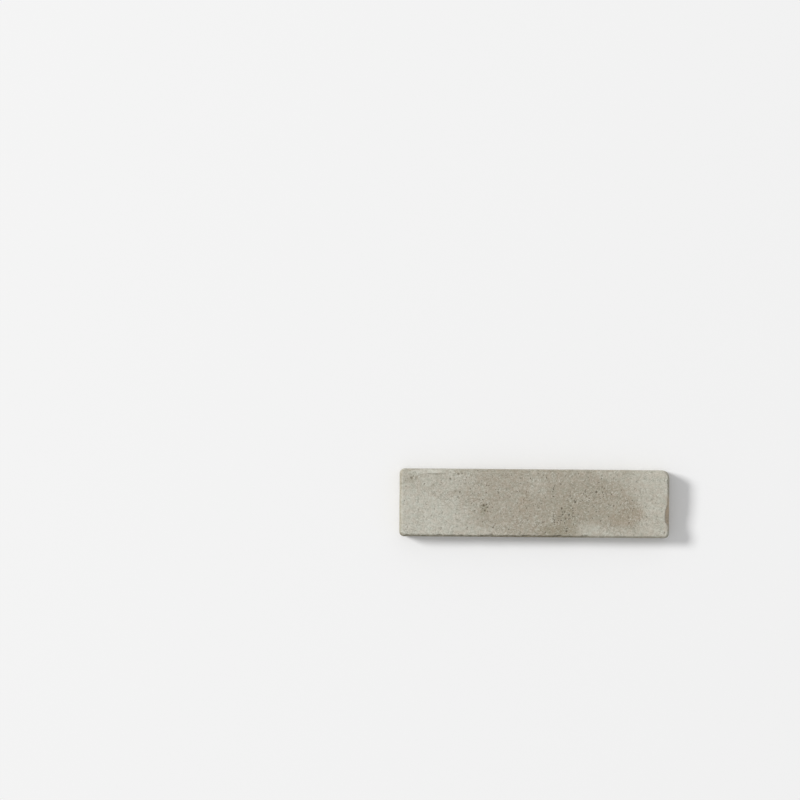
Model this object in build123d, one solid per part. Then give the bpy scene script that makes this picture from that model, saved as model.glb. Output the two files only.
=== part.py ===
from build123d import *
import os
from math import sqrt

# Tumbled limestone tile in a slim brick format.
# A strip of limestone is sawn to size on all six faces, then tumbled with grit until its corners are
# round, its arrises are soft and the weakest stretches of arris have broken away in shallow dishes.
# The tile lies on its bed. The origin is the centre of the bed, +X runs along the length to the east end,
# +Y runs across to the north edge, and +Z is up, out of the face. Millimetres.

# Sawn block
TILE_LENGTH = 200.0
TILE_WIDTH = 50.4
TILE_THICKNESS = 12.0

# Tumbled arrises, as the radius of the rounding
FACE_ARRIS = 2.4
BED_ARRIS = 2.0

# Upright corners, as the wear beyond the larger of the two arrises
NORTH_WEST_WEAR = 1.3
NORTH_EAST_WEAR = 2.8
SOUTH_EAST_WEAR = 1.2
SOUTH_WEST_WEAR = 1.1

# Spall on the arris of the east end: a wide, shallow dish
SPALL_LENGTH = 21.0
SPALL_BITE = 3.5
SPALL_DROP = 2.3
SPALL_FROM_SOUTH = 17.5

# Chips off the south arris: distance from the west end, length, and depth below the rounded arris
SOUTH_CHIPS = [
    (30.0, 9.0, 0.35),
    (67.5, 7.0, 0.30),
    (93.5, 11.0, 0.35),
    (117.0, 18.0, 0.42),
]

# Wear on the rims of the spall and the chips
RIM_WEAR = 0.7

# Thin flake off the north arris near the west end, which left a crisp step
FLAKE_LENGTH = 33.0
FLAKE_BITE = 4.2
FLAKE_DROP = 1.2
FLAKE_FROM_WEST = 20.0

# Sides of the tile, and the turn that makes a dish look out of each
WEST, EAST = -1, 1
SOUTH, NORTH = -1, 1
OUT_TO_EAST, OUT_TO_NORTH, OUT_TO_SOUTH = -90.0, 0.0, 180.0


def sawn_block():
    """The strip as it leaves the saw, standing on its bed."""
    return Pos(Z=TILE_THICKNESS / 2) * Box(TILE_LENGTH, TILE_WIDTH, TILE_THICKNESS)


def round_upright_corners(block):
    """Each upright corner gets a radius of its own, always wider than the arrises that turn it."""
    least_radius = max(FACE_ARRIS, BED_ARRIS)
    wears = {
        (WEST, NORTH): NORTH_WEST_WEAR,
        (EAST, NORTH): NORTH_EAST_WEAR,
        (EAST, SOUTH): SOUTH_EAST_WEAR,
        (WEST, SOUTH): SOUTH_WEST_WEAR,
    }
    for (along, across), wear in wears.items():
        corner = (along * TILE_LENGTH / 2, across * TILE_WIDTH / 2, TILE_THICKNESS / 2)
        upright = block.edges().filter_by(Axis.Z).sort_by_distance(corner)[0]
        block = fillet(upright, least_radius + wear)
    return block


def round_arrises(block):
    """The rims of the face and of the bed are rounded all the way round."""
    block = fillet(block.faces().sort_by(Axis.Z)[-1].edges(), FACE_ARRIS)
    return fillet(block.faces().sort_by(Axis.Z)[0].edges(), BED_ARRIS)


def dish(length, bite, drop):
    """Sphere that breaks a square arris in a dish.

    The arris runs along X through the origin, with the side towards +Y and the face towards +Z. The
    sphere crosses the arris at half the length either way, the face at the bite and the side at the drop.
    """
    half = length / 2
    outward = (half**2 - bite**2) / (2 * bite)
    upward = (half**2 - drop**2) / (2 * drop)
    radius = sqrt(half**2 + outward**2 + upward**2)
    return Pos(Y=outward, Z=upward) * Sphere(radius)


def at_south_arris(from_west):
    """Place on the south arris of the face, looking out."""
    return Pos(from_west - TILE_LENGTH / 2, -TILE_WIDTH / 2, TILE_THICKNESS) * Rot(Z=OUT_TO_SOUTH)


def at_north_arris(from_west):
    """Place on the north arris of the face, looking out."""
    return Pos(from_west - TILE_LENGTH / 2, TILE_WIDTH / 2, TILE_THICKNESS) * Rot(Z=OUT_TO_NORTH)


def at_east_arris(from_south):
    """Place on the east arris of the face, looking out."""
    return Pos(TILE_LENGTH / 2, from_south - TILE_WIDTH / 2, TILE_THICKNESS) * Rot(Z=OUT_TO_EAST)


def break_spall(tile):
    """The wide dish on the arris of the east end."""
    return tile - at_east_arris(SPALL_FROM_SOUTH) * dish(SPALL_LENGTH, SPALL_BITE, SPALL_DROP)


def break_chips(tile):
    """The small chips along the south arris, as wide over the face as down the side."""
    lost_to_rounding = FACE_ARRIS * (sqrt(2) - 1)
    for from_west, length, depth in SOUTH_CHIPS:
        reach = sqrt(2) * (lost_to_rounding + depth)
        tile -= at_south_arris(from_west) * dish(length, reach, reach)
    return tile


def wear_rims(tile):
    """The rims of all the dishes, tumbled soft."""
    return fillet(tile.faces().filter_by(GeomType.SPHERE).edges(), RIM_WEAR)


def break_flake(tile):
    """The thin flake on the north arris, which came off last and stayed crisp."""
    return tile - at_north_arris(FLAKE_FROM_WEST) * dish(FLAKE_LENGTH, FLAKE_BITE, FLAKE_DROP)


def limestone_tile():
    """The finished tile: sawn, tumbled round, broken along its arris and worn again."""
    tile = round_arrises(round_upright_corners(sawn_block()))
    tile = wear_rims(break_chips(break_spall(tile)))
    return break_flake(tile)


os.makedirs("parts", exist_ok=True)
export_step(limestone_tile(), "parts/limestone_tile.step")
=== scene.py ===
from math import cos, pi, radians, sin

import bpy
import numpy as np
from mathutils import Euler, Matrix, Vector, noise
from mathutils.bvhtree import BVHTree


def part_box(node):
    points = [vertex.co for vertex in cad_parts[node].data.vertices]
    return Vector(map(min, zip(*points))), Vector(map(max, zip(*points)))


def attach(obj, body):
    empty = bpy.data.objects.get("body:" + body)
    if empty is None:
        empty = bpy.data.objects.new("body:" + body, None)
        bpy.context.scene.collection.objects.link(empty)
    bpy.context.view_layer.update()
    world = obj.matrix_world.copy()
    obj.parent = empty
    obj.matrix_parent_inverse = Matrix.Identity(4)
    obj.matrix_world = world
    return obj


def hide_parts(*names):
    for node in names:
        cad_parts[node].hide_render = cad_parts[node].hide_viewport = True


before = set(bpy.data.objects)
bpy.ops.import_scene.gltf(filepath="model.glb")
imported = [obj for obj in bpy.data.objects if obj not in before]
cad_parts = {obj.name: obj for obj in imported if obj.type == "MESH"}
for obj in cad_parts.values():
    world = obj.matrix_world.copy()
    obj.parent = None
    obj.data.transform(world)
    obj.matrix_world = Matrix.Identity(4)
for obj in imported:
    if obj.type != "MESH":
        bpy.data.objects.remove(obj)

scene = bpy.context.scene
scene.view_settings.view_transform = "Standard"
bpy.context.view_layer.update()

# Limestone tile
# One piece of fine-grained limestone, sawn to size on all six faces and tumbled with grit. Its skin is a
# close net of small faces laid on the solid tile, then pitted, chipped and worn inwards as tumbling does.
MM = 0.001
X, Y, Z = 0, 1, 2
low, high = (np.array(corner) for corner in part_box("limestone_tile"))

# The net is a box of even lines about 0.45 mm apart, and the flat of the bed keeps only every fourth
COLUMNS, ROWS, LAYERS = 444, 112, 26
BED_BORDER, BED_STEP = 8, 4

counts = (COLUMNS, ROWS, LAYERS)
lines = [np.linspace(low[axis], high[axis], counts[axis] + 1) for axis in (X, Y, Z)]
lattice = np.stack(np.meshgrid(*lines, indexing="ij"), axis=-1)
kept = np.zeros(lattice.shape[:3], bool)
kept[[0, -1], :, :] = True
kept[:, [0, -1], :] = True
kept[:, :, [0, -1]] = True
bed_flat = kept[BED_BORDER + 1:-BED_BORDER - 1, BED_BORDER + 1:-BED_BORDER - 1, 0]
bed_flat[:] = False
bed_flat[BED_STEP - 1::BED_STEP, BED_STEP - 1::BED_STEP] = True
number = np.full(kept.shape, -1)
number[kept] = np.arange(kept.sum())
box_points = lattice[kept]


def quads(sheet):
    """Faces of a sheet of point numbers, looking out along its first axis crossed with its second."""
    corners = [sheet[:-1, :-1], sheet[1:, :-1], sheet[1:, 1:], sheet[:-1, 1:]]
    return np.stack(corners, axis=-1).reshape(-1, 4)


def bed_blocks(bed):
    """Wide faces of the flat of the bed, which take in every fine point along its border."""
    for i in range(BED_BORDER, COLUMNS - BED_BORDER, BED_STEP):
        for j in range(BED_BORDER, ROWS - BED_BORDER, BED_STEP):
            west = bed[i, j:j + BED_STEP]
            north = bed[i:i + BED_STEP, j + BED_STEP]
            east = bed[i + BED_STEP, j + BED_STEP:j:-1]
            south = bed[i + BED_STEP:i:-1, j]
            rim = np.concatenate([west, north, east, south])
            yield rim[rim >= 0]


bed = number[:, :, 0]
between = slice(BED_BORDER, -BED_BORDER)
bed_faces = [
    *quads(bed[:BED_BORDER + 1].T),
    *quads(bed[-BED_BORDER - 1:].T),
    *quads(bed[between, :BED_BORDER + 1].T),
    *quads(bed[between, -BED_BORDER - 1:].T),
    *bed_blocks(bed),
]

# Each side of the box: its faces, the axes its flat map runs along, and its left, bottom, width and height
sides = [
    (quads(number[:, :, -1]), X, Y, (0.01, 0.585, 0.98, 0.405)),
    (bed_faces, X, Y, (0.01, 0.350, 0.98, 0.225)),
    (quads(number[:, -1, :].T), X, Z, (0.01, 0.220, 0.98, 0.120)),
    (quads(number[:, 0, :]), X, Z, (0.01, 0.090, 0.98, 0.120)),
    (quads(number[-1, :, :]), Y, Z, (0.01, 0.010, 0.48, 0.070)),
    (quads(number[0, :, :].T), Y, Z, (0.51, 0.010, 0.48, 0.070)),
]
faces = [list(map(int, face)) for side in sides for face in side[0]]

# Lay the net on the solid: each point slides towards a thin core until it meets the stone, and one that
# slips between two facets takes the nearest stone instead
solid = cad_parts["limestone_tile"].data
stone = BVHTree.FromPolygons([v.co for v in solid.vertices], [p.vertices for p in solid.polygons])
core_inset = (high[Z] - low[Z]) / 2
core_points = np.clip(box_points, low + core_inset, high - core_inset)
skin_points = []
for outer, core in zip(box_points, core_points):
    inward = Vector(core - outer).normalized()
    met = stone.ray_cast(Vector(outer) - inward * MM, inward)[0]
    skin_points.append(met or stone.find_nearest(Vector(outer))[0])

mesh = bpy.data.meshes.new("limestone_tile_skin")
mesh.from_pydata(skin_points, [], faces)
mesh.polygons.foreach_set("use_smooth", [True] * len(mesh.polygons))
tile = bpy.data.objects.new("limestone_tile_skin", mesh)
scene.collection.objects.link(tile)

flat_map = mesh.uv_layers.new(name="OFBake")
places = []
for side_faces, across, up, (left, bottom, width, height) in sides:
    loops = np.concatenate([np.asarray(face) for face in side_faces])
    share = (box_points[loops] - low) / (high - low)
    places.append(np.stack([left + width * share[:, across], bottom + height * share[:, up]], axis=1))
flat_map.uv.foreach_set("vector", np.concatenate(places).astype(np.float32).ravel())

# Wear, in millimetres from the middle of the tile's bed, and always inwards from the solid
points = np.zeros(len(mesh.vertices) * 3, np.float32)
mesh.vertices.foreach_get("co", points)
points = points.reshape(-1, 3) / MM
outward = np.zeros(len(mesh.vertices) * 3, np.float32)
mesh.vertices.foreach_get("normal", outward)
outward = outward.reshape(-1, 3)
half_length, half_width, thickness = (high - low) / MM / (2, 2, 1)


def lumps(size, shift):
    """Smooth noise from -1 to 1 over the skin, in lumps of about this size, which each shift lays anew."""
    return np.array([noise.noise(Vector(p) / size + Vector((shift, -shift, shift / 2))) for p in points])


# Depth of the solid's chips below an unbroken tile with these roundings, by which corner they are
FACE_ARRIS, BED_ARRIS = 2.4, 2.0
CORNERS = {(-1, 1): 3.7, (1, 1): 5.2, (1, -1): 3.6, (-1, -1): 3.5}
corner_radius = np.zeros(len(points))
for (along, across), radius in CORNERS.items():
    corner_radius[(points[:, X] * along >= 0) & (points[:, Y] * across >= 0)] = radius
past = np.abs(points[:, :Z]) - (half_length, half_width) + corner_radius[:, None]
from_edge = corner_radius - np.minimum(past.max(axis=1), 0) - np.hypot(*np.maximum(past, 0).T)
from_face = thickness - points[:, Z]
in_round = (from_edge < FACE_ARRIS) & (from_face < FACE_ARRIS)
round_depth = FACE_ARRIS - np.hypot(FACE_ARRIS - from_edge, FACE_ARRIS - from_face)
broken_depth = np.where(in_round, round_depth, np.minimum(from_edge, from_face))
broken_depth = np.where(points[:, Z] < BED_ARRIS, 0, np.clip(broken_depth, 0, None))

# Hollows and humps left by the saw and the tumbler: their size, their shift and how deep they swing
UNDULATIONS = [(17.0, 3.0, 0.06), (6.0, 11.0, 0.04), (2.2, 29.0, 0.02)]
MEAN_SHARE = 0.5
depth = np.zeros(len(points))
for size, shift, swing in UNDULATIONS:
    depth += swing * np.clip(MEAN_SHARE + lumps(size, shift), 0, None)

# The arris of the face is rubbed unevenly, and the arris of the bed less so
FACE_RUB_REACH, FACE_RUB, FACE_RUB_WAVES, FACE_RUB_RIPPLES = 3.2, 0.05, 0.34, 0.22
BED_RUB_REACH, BED_RUB, BED_RUB_WAVES = 2.4, 0.10, 0.30
near_face_arris = np.exp(-((from_edge + from_face) / FACE_RUB_REACH) ** 2)
near_bed_arris = np.exp(-((from_edge + points[:, Z]) / BED_RUB_REACH) ** 2)
face_rub = FACE_RUB + FACE_RUB_WAVES * lumps(7.0, 41.0) + FACE_RUB_RIPPLES * lumps(2.6, 53.0)
bed_rub = BED_RUB + BED_RUB_WAVES * lumps(6.0, 61.0)
depth += near_face_arris * np.clip(face_rub, 0, None)
depth += near_bed_arris * np.clip(bed_rub, 0, None)

# Wear reaches further down the sides than over the face, so the arris is taller than it is wide
ARRIS_DROP = 5.0
DROP_SHARE, DROP_WAVES = 0.75, 0.6
solid_inset = FACE_ARRIS - np.sqrt(FACE_ARRIS**2 - np.clip(FACE_ARRIS - from_face, 0, FACE_ARRIS) ** 2)
worn_inset = FACE_ARRIS * (1 - np.sqrt(1 - np.clip(1 - from_face / ARRIS_DROP, 0, 1) ** 2))
side_share = np.hypot(outward[:, X], outward[:, Y])
drop_share = np.clip(DROP_SHARE + DROP_WAVES * lumps(9.0, 83.0), 0, 1)
depth += (worn_inset - solid_inset) * side_share * drop_share

# The arris is rubbed down to the north of the spall of the east end
EAST_END = 0.9
RUB_FROM, RUB_TO, RUB_FADE = -6.0, 7.0, 3.0
RUB_REACH, RUB_DEPTH = 2.6, 0.45
at_east = points[:, X] > EAST_END * half_length
rub = np.clip((points[:, Y] - RUB_FROM) / RUB_FADE, 0, 1) * np.clip((RUB_TO - points[:, Y]) / RUB_FADE, 0, 1)
depth += RUB_DEPTH * rub * at_east * np.exp(-((from_edge + from_face) / RUB_REACH) ** 2)

# Broken stone is rough, and the thin flake at the north-west left a seam along the foot of its scar
SEAM_FROM, SEAM_TO, SEAM_ACROSS = -86.0, -63.0, 21.6
SEAM_HALF_WIDTH, SEAM_WANDER, SEAM_DEPTH = 0.55, 0.4, 0.16
SEAM_FADE_WEST, SEAM_FADE_EAST = 4.0, 6.0
SEAM_SHARE, SEAM_GAPS = 0.85, 0.9
FULLY_BROKEN = 0.4
BREAK_DEPTH, BREAK_SWING = 0.18, 0.20
on_face = outward[:, Z] > 0.5
in_flake = (points[:, Y] > 0) & (points[:, X] < 0)
from_seam = points[:, Y] - SEAM_ACROSS - SEAM_WANDER * lumps(8.0, 97.0)
seam = np.exp(-(from_seam / SEAM_HALF_WIDTH) ** 2)
seam *= np.clip((points[:, X] - SEAM_FROM) / SEAM_FADE_WEST, 0, 1)
seam *= np.clip((SEAM_TO - points[:, X]) / SEAM_FADE_EAST, 0, 1)
seam *= on_face * np.clip(SEAM_SHARE + SEAM_GAPS * lumps(5.0, 101.0), 0, 1)
depth += SEAM_DEPTH * seam
broken = np.clip(broken_depth / FULLY_BROKEN, 0, 1)
depth += broken * (BREAK_DEPTH + BREAK_SWING * lumps(1.5, 71.0)) * ~in_flake


def dent(centre, radius, deep, lean, longer):
    """Hollow at a point, as deep as told in its middle and longer along the way it leans."""
    offset = points - centre
    offset = offset - np.outer(offset @ lean, lean) * (1 - 1 / longer)
    return deep * np.clip(1 - np.einsum("ij,ij->i", offset, offset) / radius**2, 0, 1)


# The spall is deepest at its south end: place across, radius, depth and how much longer than wide
SPALL_END = (-10.8, 4.5, 0.5, 1.3)
ALONG_Y = np.array((0, 1, 0))
across, radius, deep, longer = SPALL_END
depth += dent((half_length, across, thickness), radius, deep, ALONG_Y, longer)

TUMBLER_SEED = 7
chance = np.random.default_rng(TUMBLER_SEED)


def any_way():
    """Direction with every way as likely."""
    way = chance.normal(size=3)
    return way / np.linalg.norm(way)


# Nibbles along the arrises, most and deepest along the south of the face as far as its pale end: where, how
# many and how deep for their radius
NIBBLE_INSET, NIBBLE_BAND = 1.8, 0.6
NIBBLE_BELOW_FACE, NIBBLE_ABOVE_BED = 0.8, 0.5
FACING_SOUTH, NIBBLED_AS_FAR_AS = -0.3, 40.0
NIBBLE_RADIUS, NIBBLE_DEPTH, NIBBLE_LONGER = (0.5, 1.5), (0.4, 1.0), (1.0, 2.0)
on_face_arris = (np.abs(from_face - NIBBLE_BELOW_FACE) < NIBBLE_BAND) & (from_edge < NIBBLE_INSET)
on_bed_arris = (np.abs(points[:, Z] - NIBBLE_ABOVE_BED) < NIBBLE_BAND) & (from_edge < NIBBLE_INSET)
on_south = (outward[:, Y] < FACING_SOUTH) & (points[:, X] < NIBBLED_AS_FAR_AS)
nibbled = [
    (on_face_arris & on_south, 70, 0.44),
    (on_face_arris & ~on_south, 60, 0.16),
    (on_bed_arris, 60, 0.30),
]
hollows = np.zeros(len(points))
for arris, count, share in nibbled:
    for spot in chance.choice(np.flatnonzero(arris), count, replace=False):
        radius = chance.uniform(*NIBBLE_RADIUS)
        deep = radius * chance.uniform(*NIBBLE_DEPTH) * share
        nibble = dent(points[spot], radius, deep, any_way(), chance.uniform(*NIBBLE_LONGER))
        hollows = np.maximum(hollows, nibble)

# Pits that catch the eye on the face: place along, place across, radius and depth
FACE_PITS = [
    (-91.0, 18.4, 1.1, 0.28),
    (-89.6, 19.6, 0.6, 0.30),
    (-81.4, 14.0, 0.6, 0.35),
    (-56.2, 21.5, 1.0, 0.30),
    (-53.8, 21.9, 0.8, 0.30),
    (-68.9, -18.6, 0.6, 0.30),
    (-30.5, -17.8, 0.7, 0.40),
    (-37.4, -1.6, 0.9, 0.45),
    (-35.6, -1.0, 0.7, 0.40),
    (-36.6, -5.3, 0.8, 0.40),
    (-38.2, -4.0, 0.6, 0.30),
    (-56.8, 4.3, 0.7, 0.24),
    (-55.9, 3.7, 0.6, 0.20),
    (-55.2, 8.1, 0.7, 0.35),
    (-62.3, 17.8, 0.9, 0.34),
    (20.1, -3.4, 0.8, 0.45),
    (20.9, -7.9, 0.7, 0.40),
    (22.4, -5.9, 0.6, 0.35),
    (25.6, -8.1, 0.9, 0.45),
    (28.6, -6.8, 0.7, 0.35),
    (23.1, -10.9, 0.7, 0.35),
    (24.2, -18.2, 0.7, 0.40),
    (23.8, -20.2, 0.9, 0.45),
    (30.2, 1.4, 0.8, 0.55),
    (45.7, 8.9, 0.9, 0.60),
    (50.3, 8.5, 0.7, 0.40),
    (49.9, 12.6, 0.6, 0.35),
    (58.5, -1.2, 0.7, 0.40),
    (48.8, -12.4, 0.6, 0.35),
    (19.4, 14.3, 0.6, 0.35),
    (90.9, -8.9, 0.7, 0.26),
    (96.2, -20.9, 0.8, 0.40),
]
PIT_LONGER = 1.4
pits = np.zeros(len(points))
for along, across, radius, deep in FACE_PITS:
    pits = np.maximum(pits, dent((along, across, thickness), radius, deep, any_way(), PIT_LONGER))

# Smaller pits strewn all over
STREWN_PITS = 620
STREWN_RADIUS, STREWN_DEPTH, STREWN_LONGER = (0.40, 0.65), (0.25, 0.60), (1.0, 2.2)
for spot in chance.choice(len(points), STREWN_PITS, replace=False):
    radius = chance.uniform(*STREWN_RADIUS)
    deep = radius * chance.uniform(*STREWN_DEPTH)
    strewn = dent(points[spot], radius, deep, any_way(), chance.uniform(*STREWN_LONGER))
    hollows = np.maximum(hollows, strewn)
depth += np.maximum(hollows, pits)

points -= outward * depth[:, None]
points = np.clip(points, low / MM, high / MM)
mesh.vertices.foreach_set("co", (points * MM).astype(np.float32).ravel())
mesh.update()
facing = np.zeros(len(mesh.vertices) * 3, np.float32)
mesh.vertices.foreach_get("normal", facing)
upward = facing[Z::3]

# Where the skin lies lower than round about, which is where dirt stays
HOLLOW_REACH = 8
ends = np.zeros(len(mesh.edges) * 2, np.int32)
mesh.edges.foreach_get("vertices", ends)
one_end, other_end = ends.reshape(-1, 2).T
from_ends, to_ends = np.concatenate([one_end, other_end]), np.concatenate([other_end, one_end])
neighbours = np.bincount(to_ends, minlength=len(points))
round_about = depth
for step in range(HOLLOW_REACH):
    round_about = np.bincount(to_ends, round_about[from_ends], len(points)) / neighbours
lower = depth - round_about

# Grit stays on the flanks, and painted shade darkens them further, most of all along the south, which faces
# away from the lamp, as far as a third of the way past the middle
GRIME_AND_SHADE_SHARE, GRIME_AND_SHADE_TO_SOUTH = 0.75, 0.6
GRIME_AND_SHADE_END, GRIME_AND_SHADE_FADE, LEAST_GRIME_AND_SHADE = 35.0, 40.0, 0.5
grime_and_shade = np.clip(GRIME_AND_SHADE_SHARE - GRIME_AND_SHADE_TO_SOUTH * outward[:, Y], 0, 1)
grime_and_shade *= np.clip(GRIME_AND_SHADE_SHARE - (points[:, X] - GRIME_AND_SHADE_END) / GRIME_AND_SHADE_FADE, LEAST_GRIME_AND_SHADE, 1)

# Skin takes the grit and painted shade of the flanks once it tips this far from level, and sooner in a band
# along the edge
EDGE_BAND, STEEP_BY_EDGE, STEEP_ELSEWHERE, STEEP_FADE = 3.5, 0.988, 0.965, 0.18
steep_from = np.where(from_edge < EDGE_BAND, STEEP_BY_EDGE, STEEP_ELSEWHERE)

# The north arris, which faces the lamp, is lightened here and there as chalky wear and as painted highlight
CHALK_AND_HIGHLIGHT_INSET, CHALK_AND_HIGHLIGHT_REACH = 1.6, 1.8
CHALK_AND_HIGHLIGHT_SHARE, CHALK_AND_HIGHLIGHT_PATCHES = 0.2, 1.2
near_arris = np.exp(-((from_edge + from_face - CHALK_AND_HIGHLIGHT_INSET) / CHALK_AND_HIGHLIGHT_REACH) ** 2)
chalk_and_highlight_patches = np.clip(CHALK_AND_HIGHLIGHT_SHARE + CHALK_AND_HIGHLIGHT_PATCHES * lumps(15.0, 113.0), 0, 1)
chalky_and_lit = near_arris * np.clip(outward[:, Y], 0, 1) * chalk_and_highlight_patches

# Iron has stained the upper part of the spalled end, with a ragged border
STAIN_MIDDLE, STAIN_HALF_WIDTH, STAIN_WAVES = -4.0, 11.0, 5.0
STAIN_BITE, STAIN_FULL_BITE = 2.6, 1.3
STAIN_DROP, STAIN_FULL_DROP, STAIN_DROP_WAVES = 4.5, 1.4, 3.0
stain_across = points[:, Y] - STAIN_MIDDLE + STAIN_WAVES * lumps(6.0, 127.0)
stain_down = from_face + STAIN_DROP_WAVES * lumps(4.0, 131.0)
stain_reach = np.exp(-(stain_across / STAIN_HALF_WIDTH) ** 4)
stain_reach *= np.clip(STAIN_FULL_BITE - from_edge / STAIN_BITE, 0, 1)
stain_reach *= np.clip(STAIN_FULL_DROP - stain_down / STAIN_DROP, 0, 1)

# The marks that the colours follow, with the depths at which they are full
FULLY_RUBBED, FULLY_FLAKED, FULLY_HOLLOW, FULLY_PITTED = 0.25, 0.10, 0.22, 0.40
SAWN_BELOW, SAWN_FADE = 0.5, 0.4
marks = {
    # flanks: grit, and painted shade that is darkest on the south, away from the lamp
    "flank_grime_and_shade": np.clip((steep_from - upward) / STEEP_FADE, 0, 1) * grime_and_shade,
    # lighter where the skin stands proud, as wear, and on the north arris as painted highlight
    "rubbed_and_highlight": np.clip(-lower / FULLY_RUBBED, 0, 1) + chalky_and_lit,
    "flaked": np.clip(broken_depth / FULLY_FLAKED, 0, 1) * in_flake,
    "spalled": np.maximum(broken, stain_reach) * at_east,
    "hollow": np.clip(lower / FULLY_HOLLOW, 0, 1),
    # pits: dirt, and painted shade down in pits too narrow for the net to shade
    "pit_dirt_and_shade": np.clip(pits / FULLY_PITTED, 0, 1),
    "seam": seam,
    "sawn": np.clip((SAWN_BELOW - outward[:, Z]) / SAWN_FADE, 0, 1),
}
for name, values in marks.items():
    layer = mesh.attributes.new(name, "FLOAT", "POINT")
    layer.data.foreach_set("value", values.astype(np.float32))


def linear(hex_colour):
    """Linear colour of an sRGB hex value."""
    channels = [int(hex_colour[i:i + 2], 16) / 255 for i in (1, 3, 5)]
    return [c / 12.92 if c <= 0.04045 else ((c + 0.055) / 1.055) ** 2.4 for c in channels] + [1.0]


def add(tree, kind, inputs=None, **settings):
    """A node with its settings and inputs: plain values, sockets, or nodes for their first output."""
    made = tree.nodes.new(kind)
    for name, value in settings.items():
        setattr(made, name, value)
    for socket, value in (inputs or {}).items():
        if isinstance(value, bpy.types.Node):
            value = next(output for output in value.outputs if output.enabled)
        if isinstance(value, bpy.types.NodeSocket):
            tree.links.new(value, made.inputs[socket])
        else:
            made.inputs[socket].default_value = value
    return made


def per_metre(size_mm):
    """Pattern scale that gives features of this size."""
    return 1 / (size_mm * MM)


# Tumbled limestone: a matt, chalky surface of closely packed fine grains, clouded from pale grey to warm
# buff where iron has stained it, with white shell crumbs, dark pores and tan stone where the end spalled.
limestone = bpy.data.materials.new("tumbled_limestone")
limestone.use_nodes = True
tree = limestone.node_tree
PALE = linear("#bebcb0")
BUFF = linear("#a39c8d")
OLIVE = linear("#8b8470")
BROWN = linear("#9a8c78")
CHALK = linear("#dbd9cf")
GRIT = linear("#6b6456")
PORE = linear("#4f4839")
SHELL = linear("#d6d3c8")
# Dirt for hollows and seams, and painted shade in the pits
DIRT_AND_SHADE = linear("#5a5342")
SPALL = linear("#c8b298")
# Flank colour: grit on the sides together with painted shade on the side away from the lamp
FLANK_GRIME_AND_SHADE = linear("#6e6753")
ROSE, SAGE = linear("#fffcfb"), linear("#fcffff")

place = add(tree, "ShaderNodeTexCoord").outputs["Object"]

# Ragged edges for the clouds: each place is pushed about by blotches of 13 mm
MIDDLE = (0.5, 0.5, 0.5)
DRIFT = (15 * MM, 12 * MM, 0.0)
blotches = {"Vector": place, "Scale": per_metre(13.0), "Detail": 5.0, "Roughness": 0.62}
drift = add(tree, "ShaderNodeTexNoise", blotches)
off_middle = {0: drift.outputs["Color"], 1: MIDDLE}
push = add(tree, "ShaderNodeVectorMath", off_middle, operation="SUBTRACT")
clouded = add(tree, "ShaderNodeVectorMath", {0: push, 1: DRIFT, 2: place}, operation="MULTIPLY_ADD")


def clouds(patches):
    """Strongest of these oval patches at each place, with soft and ragged edges."""
    strongest = 0.0
    for along, across, half_along, half_across, turn, soft, strength in patches:
        oval = {
            "Vector": clouded,
            "Location": (along * MM, across * MM, 0.0),
            "Rotation": (0.0, 0.0, radians(turn)),
            "Scale": (half_along * MM, half_across * MM, 1.0),
        }
        inside = add(tree, "ShaderNodeMapping", oval, vector_type="TEXTURE")
        reach = add(tree, "ShaderNodeVectorMath", {0: inside}, operation="LENGTH")
        fade = {"Value": reach, "From Min": 1 - soft, "From Max": 1 + soft, "To Min": strength, "To Max": 0.0}
        share = add(tree, "ShaderNodeMapRange", fade, interpolation_type="SMOOTHSTEP")
        strongest = add(tree, "ShaderNodeMath", {0: share, 1: strongest}, operation="MAXIMUM")
    return strongest


# Clouds in the stone: middle along and across, half length, half width, turn, softness and strength
PALE_CLOUDS = [
    (-97.0, -13.0, 48.0, 30.0, 0.0, 0.38, 0.85),
    (-76.0, 18.0, 30.0, 14.0, 0.0, 0.50, 0.62),
    (-58.0, -24.0, 28.0, 9.0, 0.0, 0.50, 0.55),
    (-44.0, 10.0, 9.0, 5.5, 0.0, 0.60, 0.25),
    (-20.0, 6.0, 10.0, 12.0, 0.0, 0.60, 0.10),
    (0.0, 15.0, 10.0, 11.0, 0.0, 0.60, 0.22),
    (112.0, 4.0, 46.0, 42.0, 0.0, 0.35, 1.00),
    (58.0, 20.0, 11.0, 6.5, 0.0, 0.60, 0.36),
    (41.0, -16.5, 10.0, 6.5, 0.0, 0.25, 0.58),
    (60.0, -24.0, 34.0, 6.5, 0.0, 0.30, 0.50),
]
BUFF_CLOUDS = [
    (48.0, 2.5, 34.0, 17.0, -25.0, 0.24, 1.00),
    (-66.0, 9.0, 13.0, 6.0, 0.0, 0.60, 0.14),
    (86.0, -14.0, 14.0, 9.0, 0.0, 0.60, 0.20),
    (77.0, 6.0, 15.0, 11.0, 0.0, 0.60, 0.24),
]
BROWN_CLOUDS = [
    (70.0, -7.5, 15.0, 6.5, 20.0, 0.50, 0.45),
    (-8.0, 0.0, 5.0, 9.0, 0.0, 0.60, 0.35),
    (86.0, 2.0, 22.0, 28.0, 0.0, 0.50, 0.13),
]
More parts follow.
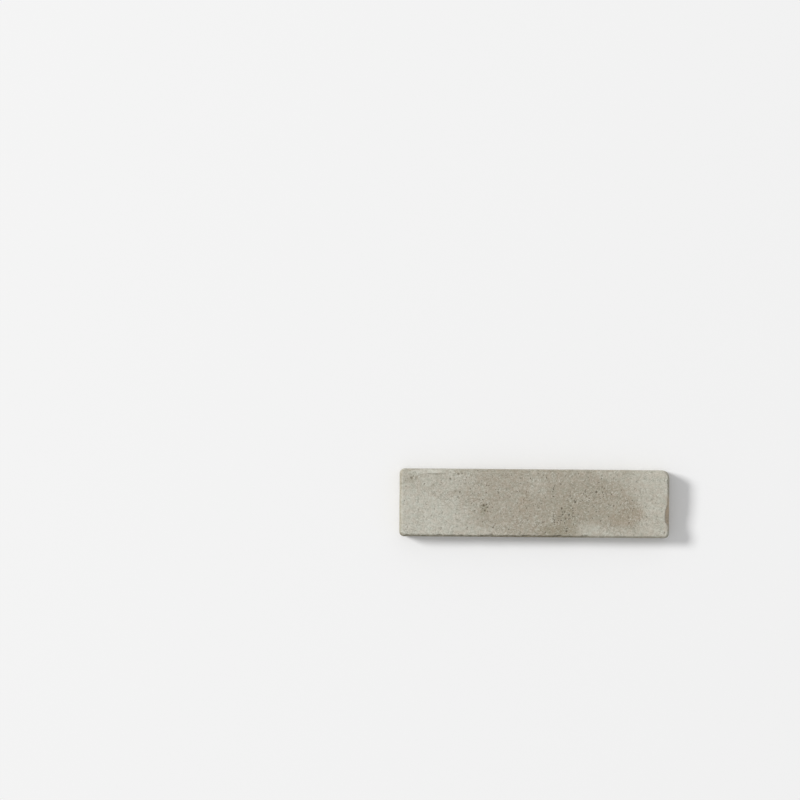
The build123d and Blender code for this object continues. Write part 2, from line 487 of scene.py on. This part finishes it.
OLIVE_CLOUDS = [
    (17.0, -20.5, 14.0, 5.5, 0.0, 0.60, 0.62),
    (24.0, -8.0, 7.5, 11.0, 0.0, 0.70, 0.50),
    (37.0, -1.0, 30.0, 15.0, 0.0, 0.60, 0.22),
    (33.0, 4.0, 7.0, 5.0, 0.0, 0.70, 0.22),
    (47.0, 11.0, 5.0, 3.5, 0.0, 0.70, 0.30),
    (-37.0, -3.0, 3.2, 4.2, 0.0, 0.50, 0.75),
    (-91.5, 18.8, 4.5, 2.2, 0.0, 0.50, 0.40),
    (-92.0, 21.3, 4.0, 1.1, 0.0, 0.50, 0.25),
    (-54.5, 21.8, 3.5, 1.6, 0.0, 0.50, 0.35),
]
unstained = add(tree, "ShaderNodeMath", {0: 1.0, 1: clouds(BUFF_CLOUDS)}, operation="SUBTRACT")
paleness = add(tree, "ShaderNodeMath", {0: clouds(PALE_CLOUDS), 1: unstained}, operation="MULTIPLY")

# Mottling of the clouds: blotch size, and how far it swings the stone from buff to pale
MOTTLES = [(7.0, 0.45), (2.4, 0.52)]
for size, swing in MOTTLES:
    blotches = {"Vector": place, "Scale": per_metre(size), "Detail": 4.0, "Roughness": 0.6}
    mottle = add(tree, "ShaderNodeTexNoise", blotches)
    centred = add(tree, "ShaderNodeMath", {0: mottle, 1: 0.5}, operation="SUBTRACT")
    paleness = add(tree, "ShaderNodeMath", {0: centred, 1: 2 * swing, 2: paleness}, operation="MULTIPLY_ADD")
paleness = add(tree, "ShaderNodeClamp", {"Value": paleness, "Min": -0.2, "Max": 1.2})
colour = add(tree, "ShaderNodeMix", {"Factor": paleness, "A": BUFF, "B": PALE}, data_type="RGBA")
for stain, patches in ((BROWN, BROWN_CLOUDS), (OLIVE, OLIVE_CLOUDS)):
    clouding = {"Factor": clouds(patches), "A": colour, "B": stain}
    colour = add(tree, "ShaderNodeMix", clouding, data_type="RGBA")

# The stone leans a little to rose in some spots and to green in others, 4 mm across
spots = add(tree, "ShaderNodeTexNoise", {"Vector": place, "Scale": per_metre(4.0), "Detail": 3.0})
lean = add(tree, "ShaderNodeMapRange", {"Value": spots, "From Min": 0.38, "From Max": 0.62})
tint = add(tree, "ShaderNodeMix", {"Factor": lean, "A": ROSE, "B": SAGE}, data_type="RGBA")
tinted = {"Factor": 1.0, "A": colour, "B": tint}
colour = add(tree, "ShaderNodeMix", tinted, data_type="RGBA", blend_type="MULTIPLY")

# Grains, light and dark: packed cells with ragged borders over finer noise, crowded in some patches and
# sparse in others. The stone's own grains are about 0.3 mm, and are drawn up to three times as coarse so
# that they show.
GRAIN_DRIFT = (0.6 * MM, 0.6 * MM, 0.6 * MM)
patches = add(tree, "ShaderNodeTexNoise", {"Vector": place, "Scale": per_metre(8.0), "Detail": 2.0})
crowding = {"Value": patches, "From Min": 0.3, "From Max": 0.7, "To Min": 0.6, "To Max": 1.4}
crowd = add(tree, "ShaderNodeMapRange", crowding)
ragged = add(tree, "ShaderNodeTexNoise", {"Vector": place, "Scale": per_metre(0.6), "Detail": 2.0})
off_middle = {0: ragged.outputs["Color"], 1: MIDDLE}
push = add(tree, "ShaderNodeVectorMath", off_middle, operation="SUBTRACT")
jagged = add(tree, "ShaderNodeVectorMath", {0: push, 1: GRAIN_DRIFT, 2: place}, operation="MULTIPLY_ADD")
cells = add(tree, "ShaderNodeTexVoronoi", {"Vector": jagged, "Scale": per_metre(0.9)})
grain = add(tree, "ShaderNodeSeparateColor", {"Color": cells.outputs["Color"]}).outputs["Red"]
speckle = {"Vector": place, "Scale": per_metre(0.75), "Detail": 3.0, "Roughness": 0.65}
fine = add(tree, "ShaderNodeTexNoise", speckle)
coarse = add(tree, "ShaderNodeTexNoise", {"Vector": place, "Scale": per_metre(1.7), "Detail": 2.0})
tone = 0.0
for pattern, swing in ((grain, 0.30), (fine, 1.30), (coarse, 0.60)):
    centred = add(tree, "ShaderNodeMath", {0: pattern, 1: 0.5}, operation="SUBTRACT")
    tone = add(tree, "ShaderNodeMath", {0: centred, 1: swing, 2: tone}, operation="MULTIPLY_ADD")
tone = add(tree, "ShaderNodeMath", {0: tone, 1: crowd}, operation="MULTIPLY")
for end, grain_colour in ((-0.5, GRIT), (0.5, CHALK)):
    amount = {"Value": tone, "From Min": 0.0, "From Max": end, "To Min": 0.0, "To Max": 0.6}
    share = add(tree, "ShaderNodeMapRange", amount)
    colour = add(tree, "ShaderNodeMix", {"Factor": share, "A": colour, "B": grain_colour}, data_type="RGBA")

# Shell crumbs: about four in ten cells of a 2.6 mm net hold a pale one
shells = add(tree, "ShaderNodeTexVoronoi", {"Vector": jagged, "Scale": per_metre(2.6)})
pick = add(tree, "ShaderNodeSeparateColor", {"Color": shells.outputs["Color"]}).outputs["Red"]
size = add(tree, "ShaderNodeMapRange", {"Value": pick, "From Min": 0.62, "From Max": 1.0, "To Max": 0.24})
within = add(tree, "ShaderNodeMath", {0: size, 1: shells.outputs["Distance"]}, operation="SUBTRACT")
shell = add(tree, "ShaderNodeMapRange", {"Value": within, "From Min": 0.0, "From Max": 0.06, "To Max": 0.5})
colour = add(tree, "ShaderNodeMix", {"Factor": shell, "A": colour, "B": SHELL}, data_type="RGBA")

# Pores: dark holes, many in the buff stone, few in the pale, and most in a few clusters. Two nets of cells
# hold them, and each net has its spacing in millimetres, the share of its cells left empty, and the widest
# hole as a share of a cell.
PORE_NETS = [(1.5, 0.42, 0.32), (2.7, 0.52, 0.24)]
MORE_IN_CLUSTERS, FEWER_IN_PALE = 0.2, -0.2
PORE_STRENGTH = 0.75
PORE_CLUSTERS = [
    (-40.0, 0.0, 9.0, 6.0, 0.0, 0.80, 1.0),
    (-6.0, 5.0, 8.0, 13.0, 0.0, 0.80, 1.0),
    (25.0, -7.0, 9.0, 13.0, 0.0, 0.80, 1.0),
    (46.0, 8.0, 10.0, 7.0, 0.0, 0.80, 1.0),
]
crowded = {0: clouds(PORE_CLUSTERS), 1: MORE_IN_CLUSTERS}
thicker = add(tree, "ShaderNodeMath", crowded, operation="MULTIPLY")
thinned = {0: paleness, 1: FEWER_IN_PALE, 2: thicker}
plenty = add(tree, "ShaderNodeMath", thinned, operation="MULTIPLY_ADD")
pore = 0.0
for spacing, empty, widest in PORE_NETS:
    pores = add(tree, "ShaderNodeTexVoronoi", {"Vector": jagged, "Scale": per_metre(spacing)})
    pick = add(tree, "ShaderNodeSeparateColor", {"Color": pores.outputs["Color"]}).outputs["Green"]
    picked = add(tree, "ShaderNodeMath", {0: pick, 1: plenty}, operation="ADD")
    widening = {"Value": picked, "From Min": empty, "From Max": 1.0, "To Max": widest}
    size = add(tree, "ShaderNodeMapRange", widening)
    within = add(tree, "ShaderNodeMath", {0: size, 1: pores.outputs["Distance"]}, operation="SUBTRACT")
    hole = add(tree, "ShaderNodeMapRange", {"Value": within, "From Min": 0.0, "From Max": 0.08})
    pore = add(tree, "ShaderNodeMath", {0: hole, 1: pore}, operation="MAXIMUM")
share = add(tree, "ShaderNodeMath", {0: pore, 1: PORE_STRENGTH}, operation="MULTIPLY")
colour = add(tree, "ShaderNodeMix", {"Factor": share, "A": colour, "B": PORE}, data_type="RGBA")

# What the wear left on the colour, with painted shade on the flanks and in the pits and a painted highlight
# on the north arris: the mark, how strong it is, and its tint. All of it gathers in blotches.
stains = [
    # grit and painted shade on the flanks
    ("flank_grime_and_shade", 0.65, FLANK_GRIME_AND_SHADE),
    # chalk where the skin is rubbed, and painted highlight on the north arris that faces the lamp
    ("rubbed_and_highlight", 0.25, CHALK),
    ("flaked", 0.25, CHALK),
    ("spalled", 0.52, SPALL),
    ("hollow", 0.35, DIRT_AND_SHADE),
    # dirt and painted shade in the pits
    ("pit_dirt_and_shade", 0.60, DIRT_AND_SHADE),
    ("seam", 0.42, DIRT_AND_SHADE),
]
gather = {"Vector": place, "Scale": per_metre(2.2), "Detail": 4.0, "Roughness": 0.75}
gathered = add(tree, "ShaderNodeTexNoise", gather)
patchy = {"Value": gathered, "From Min": 0.3, "From Max": 0.7, "To Min": 1.45, "To Max": 0.55}
patchiness = add(tree, "ShaderNodeMapRange", patchy)
for name, strength, tint in stains:
    mark = add(tree, "ShaderNodeAttribute", attribute_name=name)
    even = add(tree, "ShaderNodeMath", {0: mark.outputs["Fac"], 1: strength}, operation="MULTIPLY")
    share = add(tree, "ShaderNodeMath", {0: even, 1: patchiness}, operation="MULTIPLY")
    colour = add(tree, "ShaderNodeMix", {"Factor": share, "A": colour, "B": tint}, data_type="RGBA")

# Faint saw lines along the sides and the bed, 1.3 mm apart: they step up the sides and across the bed
SAW_PITCH = 1.3
SAW_WANDER = 3 * MM
axes = add(tree, "ShaderNodeSeparateXYZ", {"Vector": place})
on_bed = {"Value": axes.outputs["Z"], "From Min": 1.5 * MM, "From Max": 0.5 * MM}
bed_share = add(tree, "ShaderNodeMapRange", on_bed)
steps = {0: axes.outputs["Y"], 1: bed_share, 2: axes.outputs["Z"]}
saw_place = add(tree, "ShaderNodeMath", steps, operation="MULTIPLY_ADD")
wander = add(tree, "ShaderNodeMath", {0: drift, 1: SAW_WANDER, 2: saw_place}, operation="MULTIPLY_ADD")
cut = {"W": wander, "Scale": per_metre(SAW_PITCH), "Detail": 2.0}
saw = add(tree, "ShaderNodeTexNoise", cut, noise_dimensions="1D")
sawn = add(tree, "ShaderNodeAttribute", attribute_name="sawn")
saw_line = add(tree, "ShaderNodeMath", {0: saw, 1: sawn.outputs["Fac"]}, operation="MULTIPLY")

# Relief too fine for the net, in millimetres, and a dull finish that the coarser grains make duller
rises = [(fine, 0.06), (grain, 0.03), (shell, 0.04), (pore, -0.12), (saw_line, 0.10)]
relief = 0.0
for pattern, rise in rises:
    relief = add(tree, "ShaderNodeMath", {0: pattern, 1: rise, 2: relief}, operation="MULTIPLY_ADD")
bump = add(tree, "ShaderNodeBump", {"Height": relief, "Distance": MM, "Strength": 0.8})
dull = {"Value": fine, "From Min": 0.2, "From Max": 0.8, "To Min": 0.92, "To Max": 0.74}
shader = tree.nodes["Principled BSDF"]
shader.inputs["IOR"].default_value = 1.5
shader.inputs["Specular IOR Level"].default_value = 0.3
tree.links.new(colour.outputs["Result"], shader.inputs["Base Color"])
tree.links.new(add(tree, "ShaderNodeMapRange", dull).outputs["Result"], shader.inputs["Roughness"])
tree.links.new(bump.outputs["Normal"], shader.inputs["Normal"])
mesh.materials.append(limestone)
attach(tile, "root")
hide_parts("limestone_tile")

# Floor
# Wide sheet of matt white card under the tile, pale enough to lose its edge and to keep the shadow.
FLOOR_REACH = 4.0
CORNER_SIDES = [(-1, -1), (1, -1), (1, 1), (-1, 1)]
corners = [(FLOOR_REACH * along, FLOOR_REACH * across, 0) for along, across in CORNER_SIDES]
floor_mesh = bpy.data.meshes.new("white_card")
floor_mesh.from_pydata(corners, [], [(0, 1, 2, 3)])
floor = bpy.data.objects.new("white_card", floor_mesh)
scene.collection.objects.link(floor)
CARD_WHITE = linear("#f3f3f3")
card = bpy.data.materials.new("matt_white_card")
card.use_nodes = True
card_shader = card.node_tree.nodes["Principled BSDF"]
card_shader.inputs["Base Color"].default_value = CARD_WHITE
card_shader.inputs["Roughness"].default_value = 1.0
card_shader.inputs["Specular IOR Level"].default_value = 0.0
floor_mesh.materials.append(card)

# Light
# White room light from all round, and one soft lamp low on the left that lays a short shadow to the right.
# Seen straight or in a reflection, the room is as pale as the card.
ROOM_SHARE = 0.55
ROOM_WHITE = (ROOM_SHARE, ROOM_SHARE, ROOM_SHARE, 1.0)
world = bpy.data.worlds.new("white_room")
scene.world = world
world.use_nodes = True
room = world.node_tree
ray = add(room, "ShaderNodeLightPath")
seen = 0.0
for kind in ("Is Camera Ray", "Is Glossy Ray", "Is Transmission Ray"):
    seen = add(room, "ShaderNodeMath", {0: ray.outputs[kind], 1: seen}, operation="MAXIMUM")
white = add(room, "ShaderNodeMix", {"Factor": seen, "A": ROOM_WHITE, "B": CARD_WHITE}, data_type="RGBA")
room.links.new(white.outputs["Result"], room.nodes["Background"].inputs["Color"])

LAMP_HEIGHT_ANGLE, LAMP_TURN = radians(28.5), radians(19.7)
LAMP_DISTANCE = 25.0
LAMP_TALL, LAMP_WIDE = radians(11.0), radians(17.0)
lamp_data = bpy.data.lights.new("soft_lamp", "AREA")
lamp_data.shape = "RECTANGLE"
lamp_data.size = LAMP_DISTANCE * LAMP_WIDE
lamp_data.size_y = LAMP_DISTANCE * LAMP_TALL
lamp_data.energy = (1 - ROOM_SHARE) * pi * pi * LAMP_DISTANCE**2 / sin(LAMP_HEIGHT_ANGLE)
lamp = bpy.data.objects.new("soft_lamp", lamp_data)
scene.collection.objects.link(lamp)
level = cos(LAMP_HEIGHT_ANGLE)
towards_lamp = Vector((-level * cos(LAMP_TURN), level * sin(LAMP_TURN), sin(LAMP_HEIGHT_ANGLE)))
lamp.location = towards_lamp * LAMP_DISTANCE
lamp.rotation_euler = towards_lamp.to_track_quat("Z", "Y").to_euler()
lamp.visible_camera = False

# Camera
# Straight above and turned by a touch, with the tile low on the right of the picture.
FRAME_PIXELS = 800
PIXEL = 0.739 * MM
TILE_MIDDLE = (534.7, 503.7)
CAMERA_HEIGHT = 1.5
TILE_TURN = radians(0.45)
SENSOR = 36.0
camera_data = bpy.data.cameras.new("overhead")
camera_data.sensor_width = SENSOR
camera_data.lens = SENSOR * (CAMERA_HEIGHT - high[Z]) / (FRAME_PIXELS * PIXEL)
camera = bpy.data.objects.new("overhead", camera_data)
scene.collection.objects.link(camera)
beside = (FRAME_PIXELS / 2 - TILE_MIDDLE[0]) * PIXEL
above = (TILE_MIDDLE[1] - FRAME_PIXELS / 2) * PIXEL
camera.location = Vector((beside, above, CAMERA_HEIGHT))
camera.location.rotate(Euler((0, 0, TILE_TURN)))
camera.rotation_euler = (0, 0, TILE_TURN)
scene.camera = camera
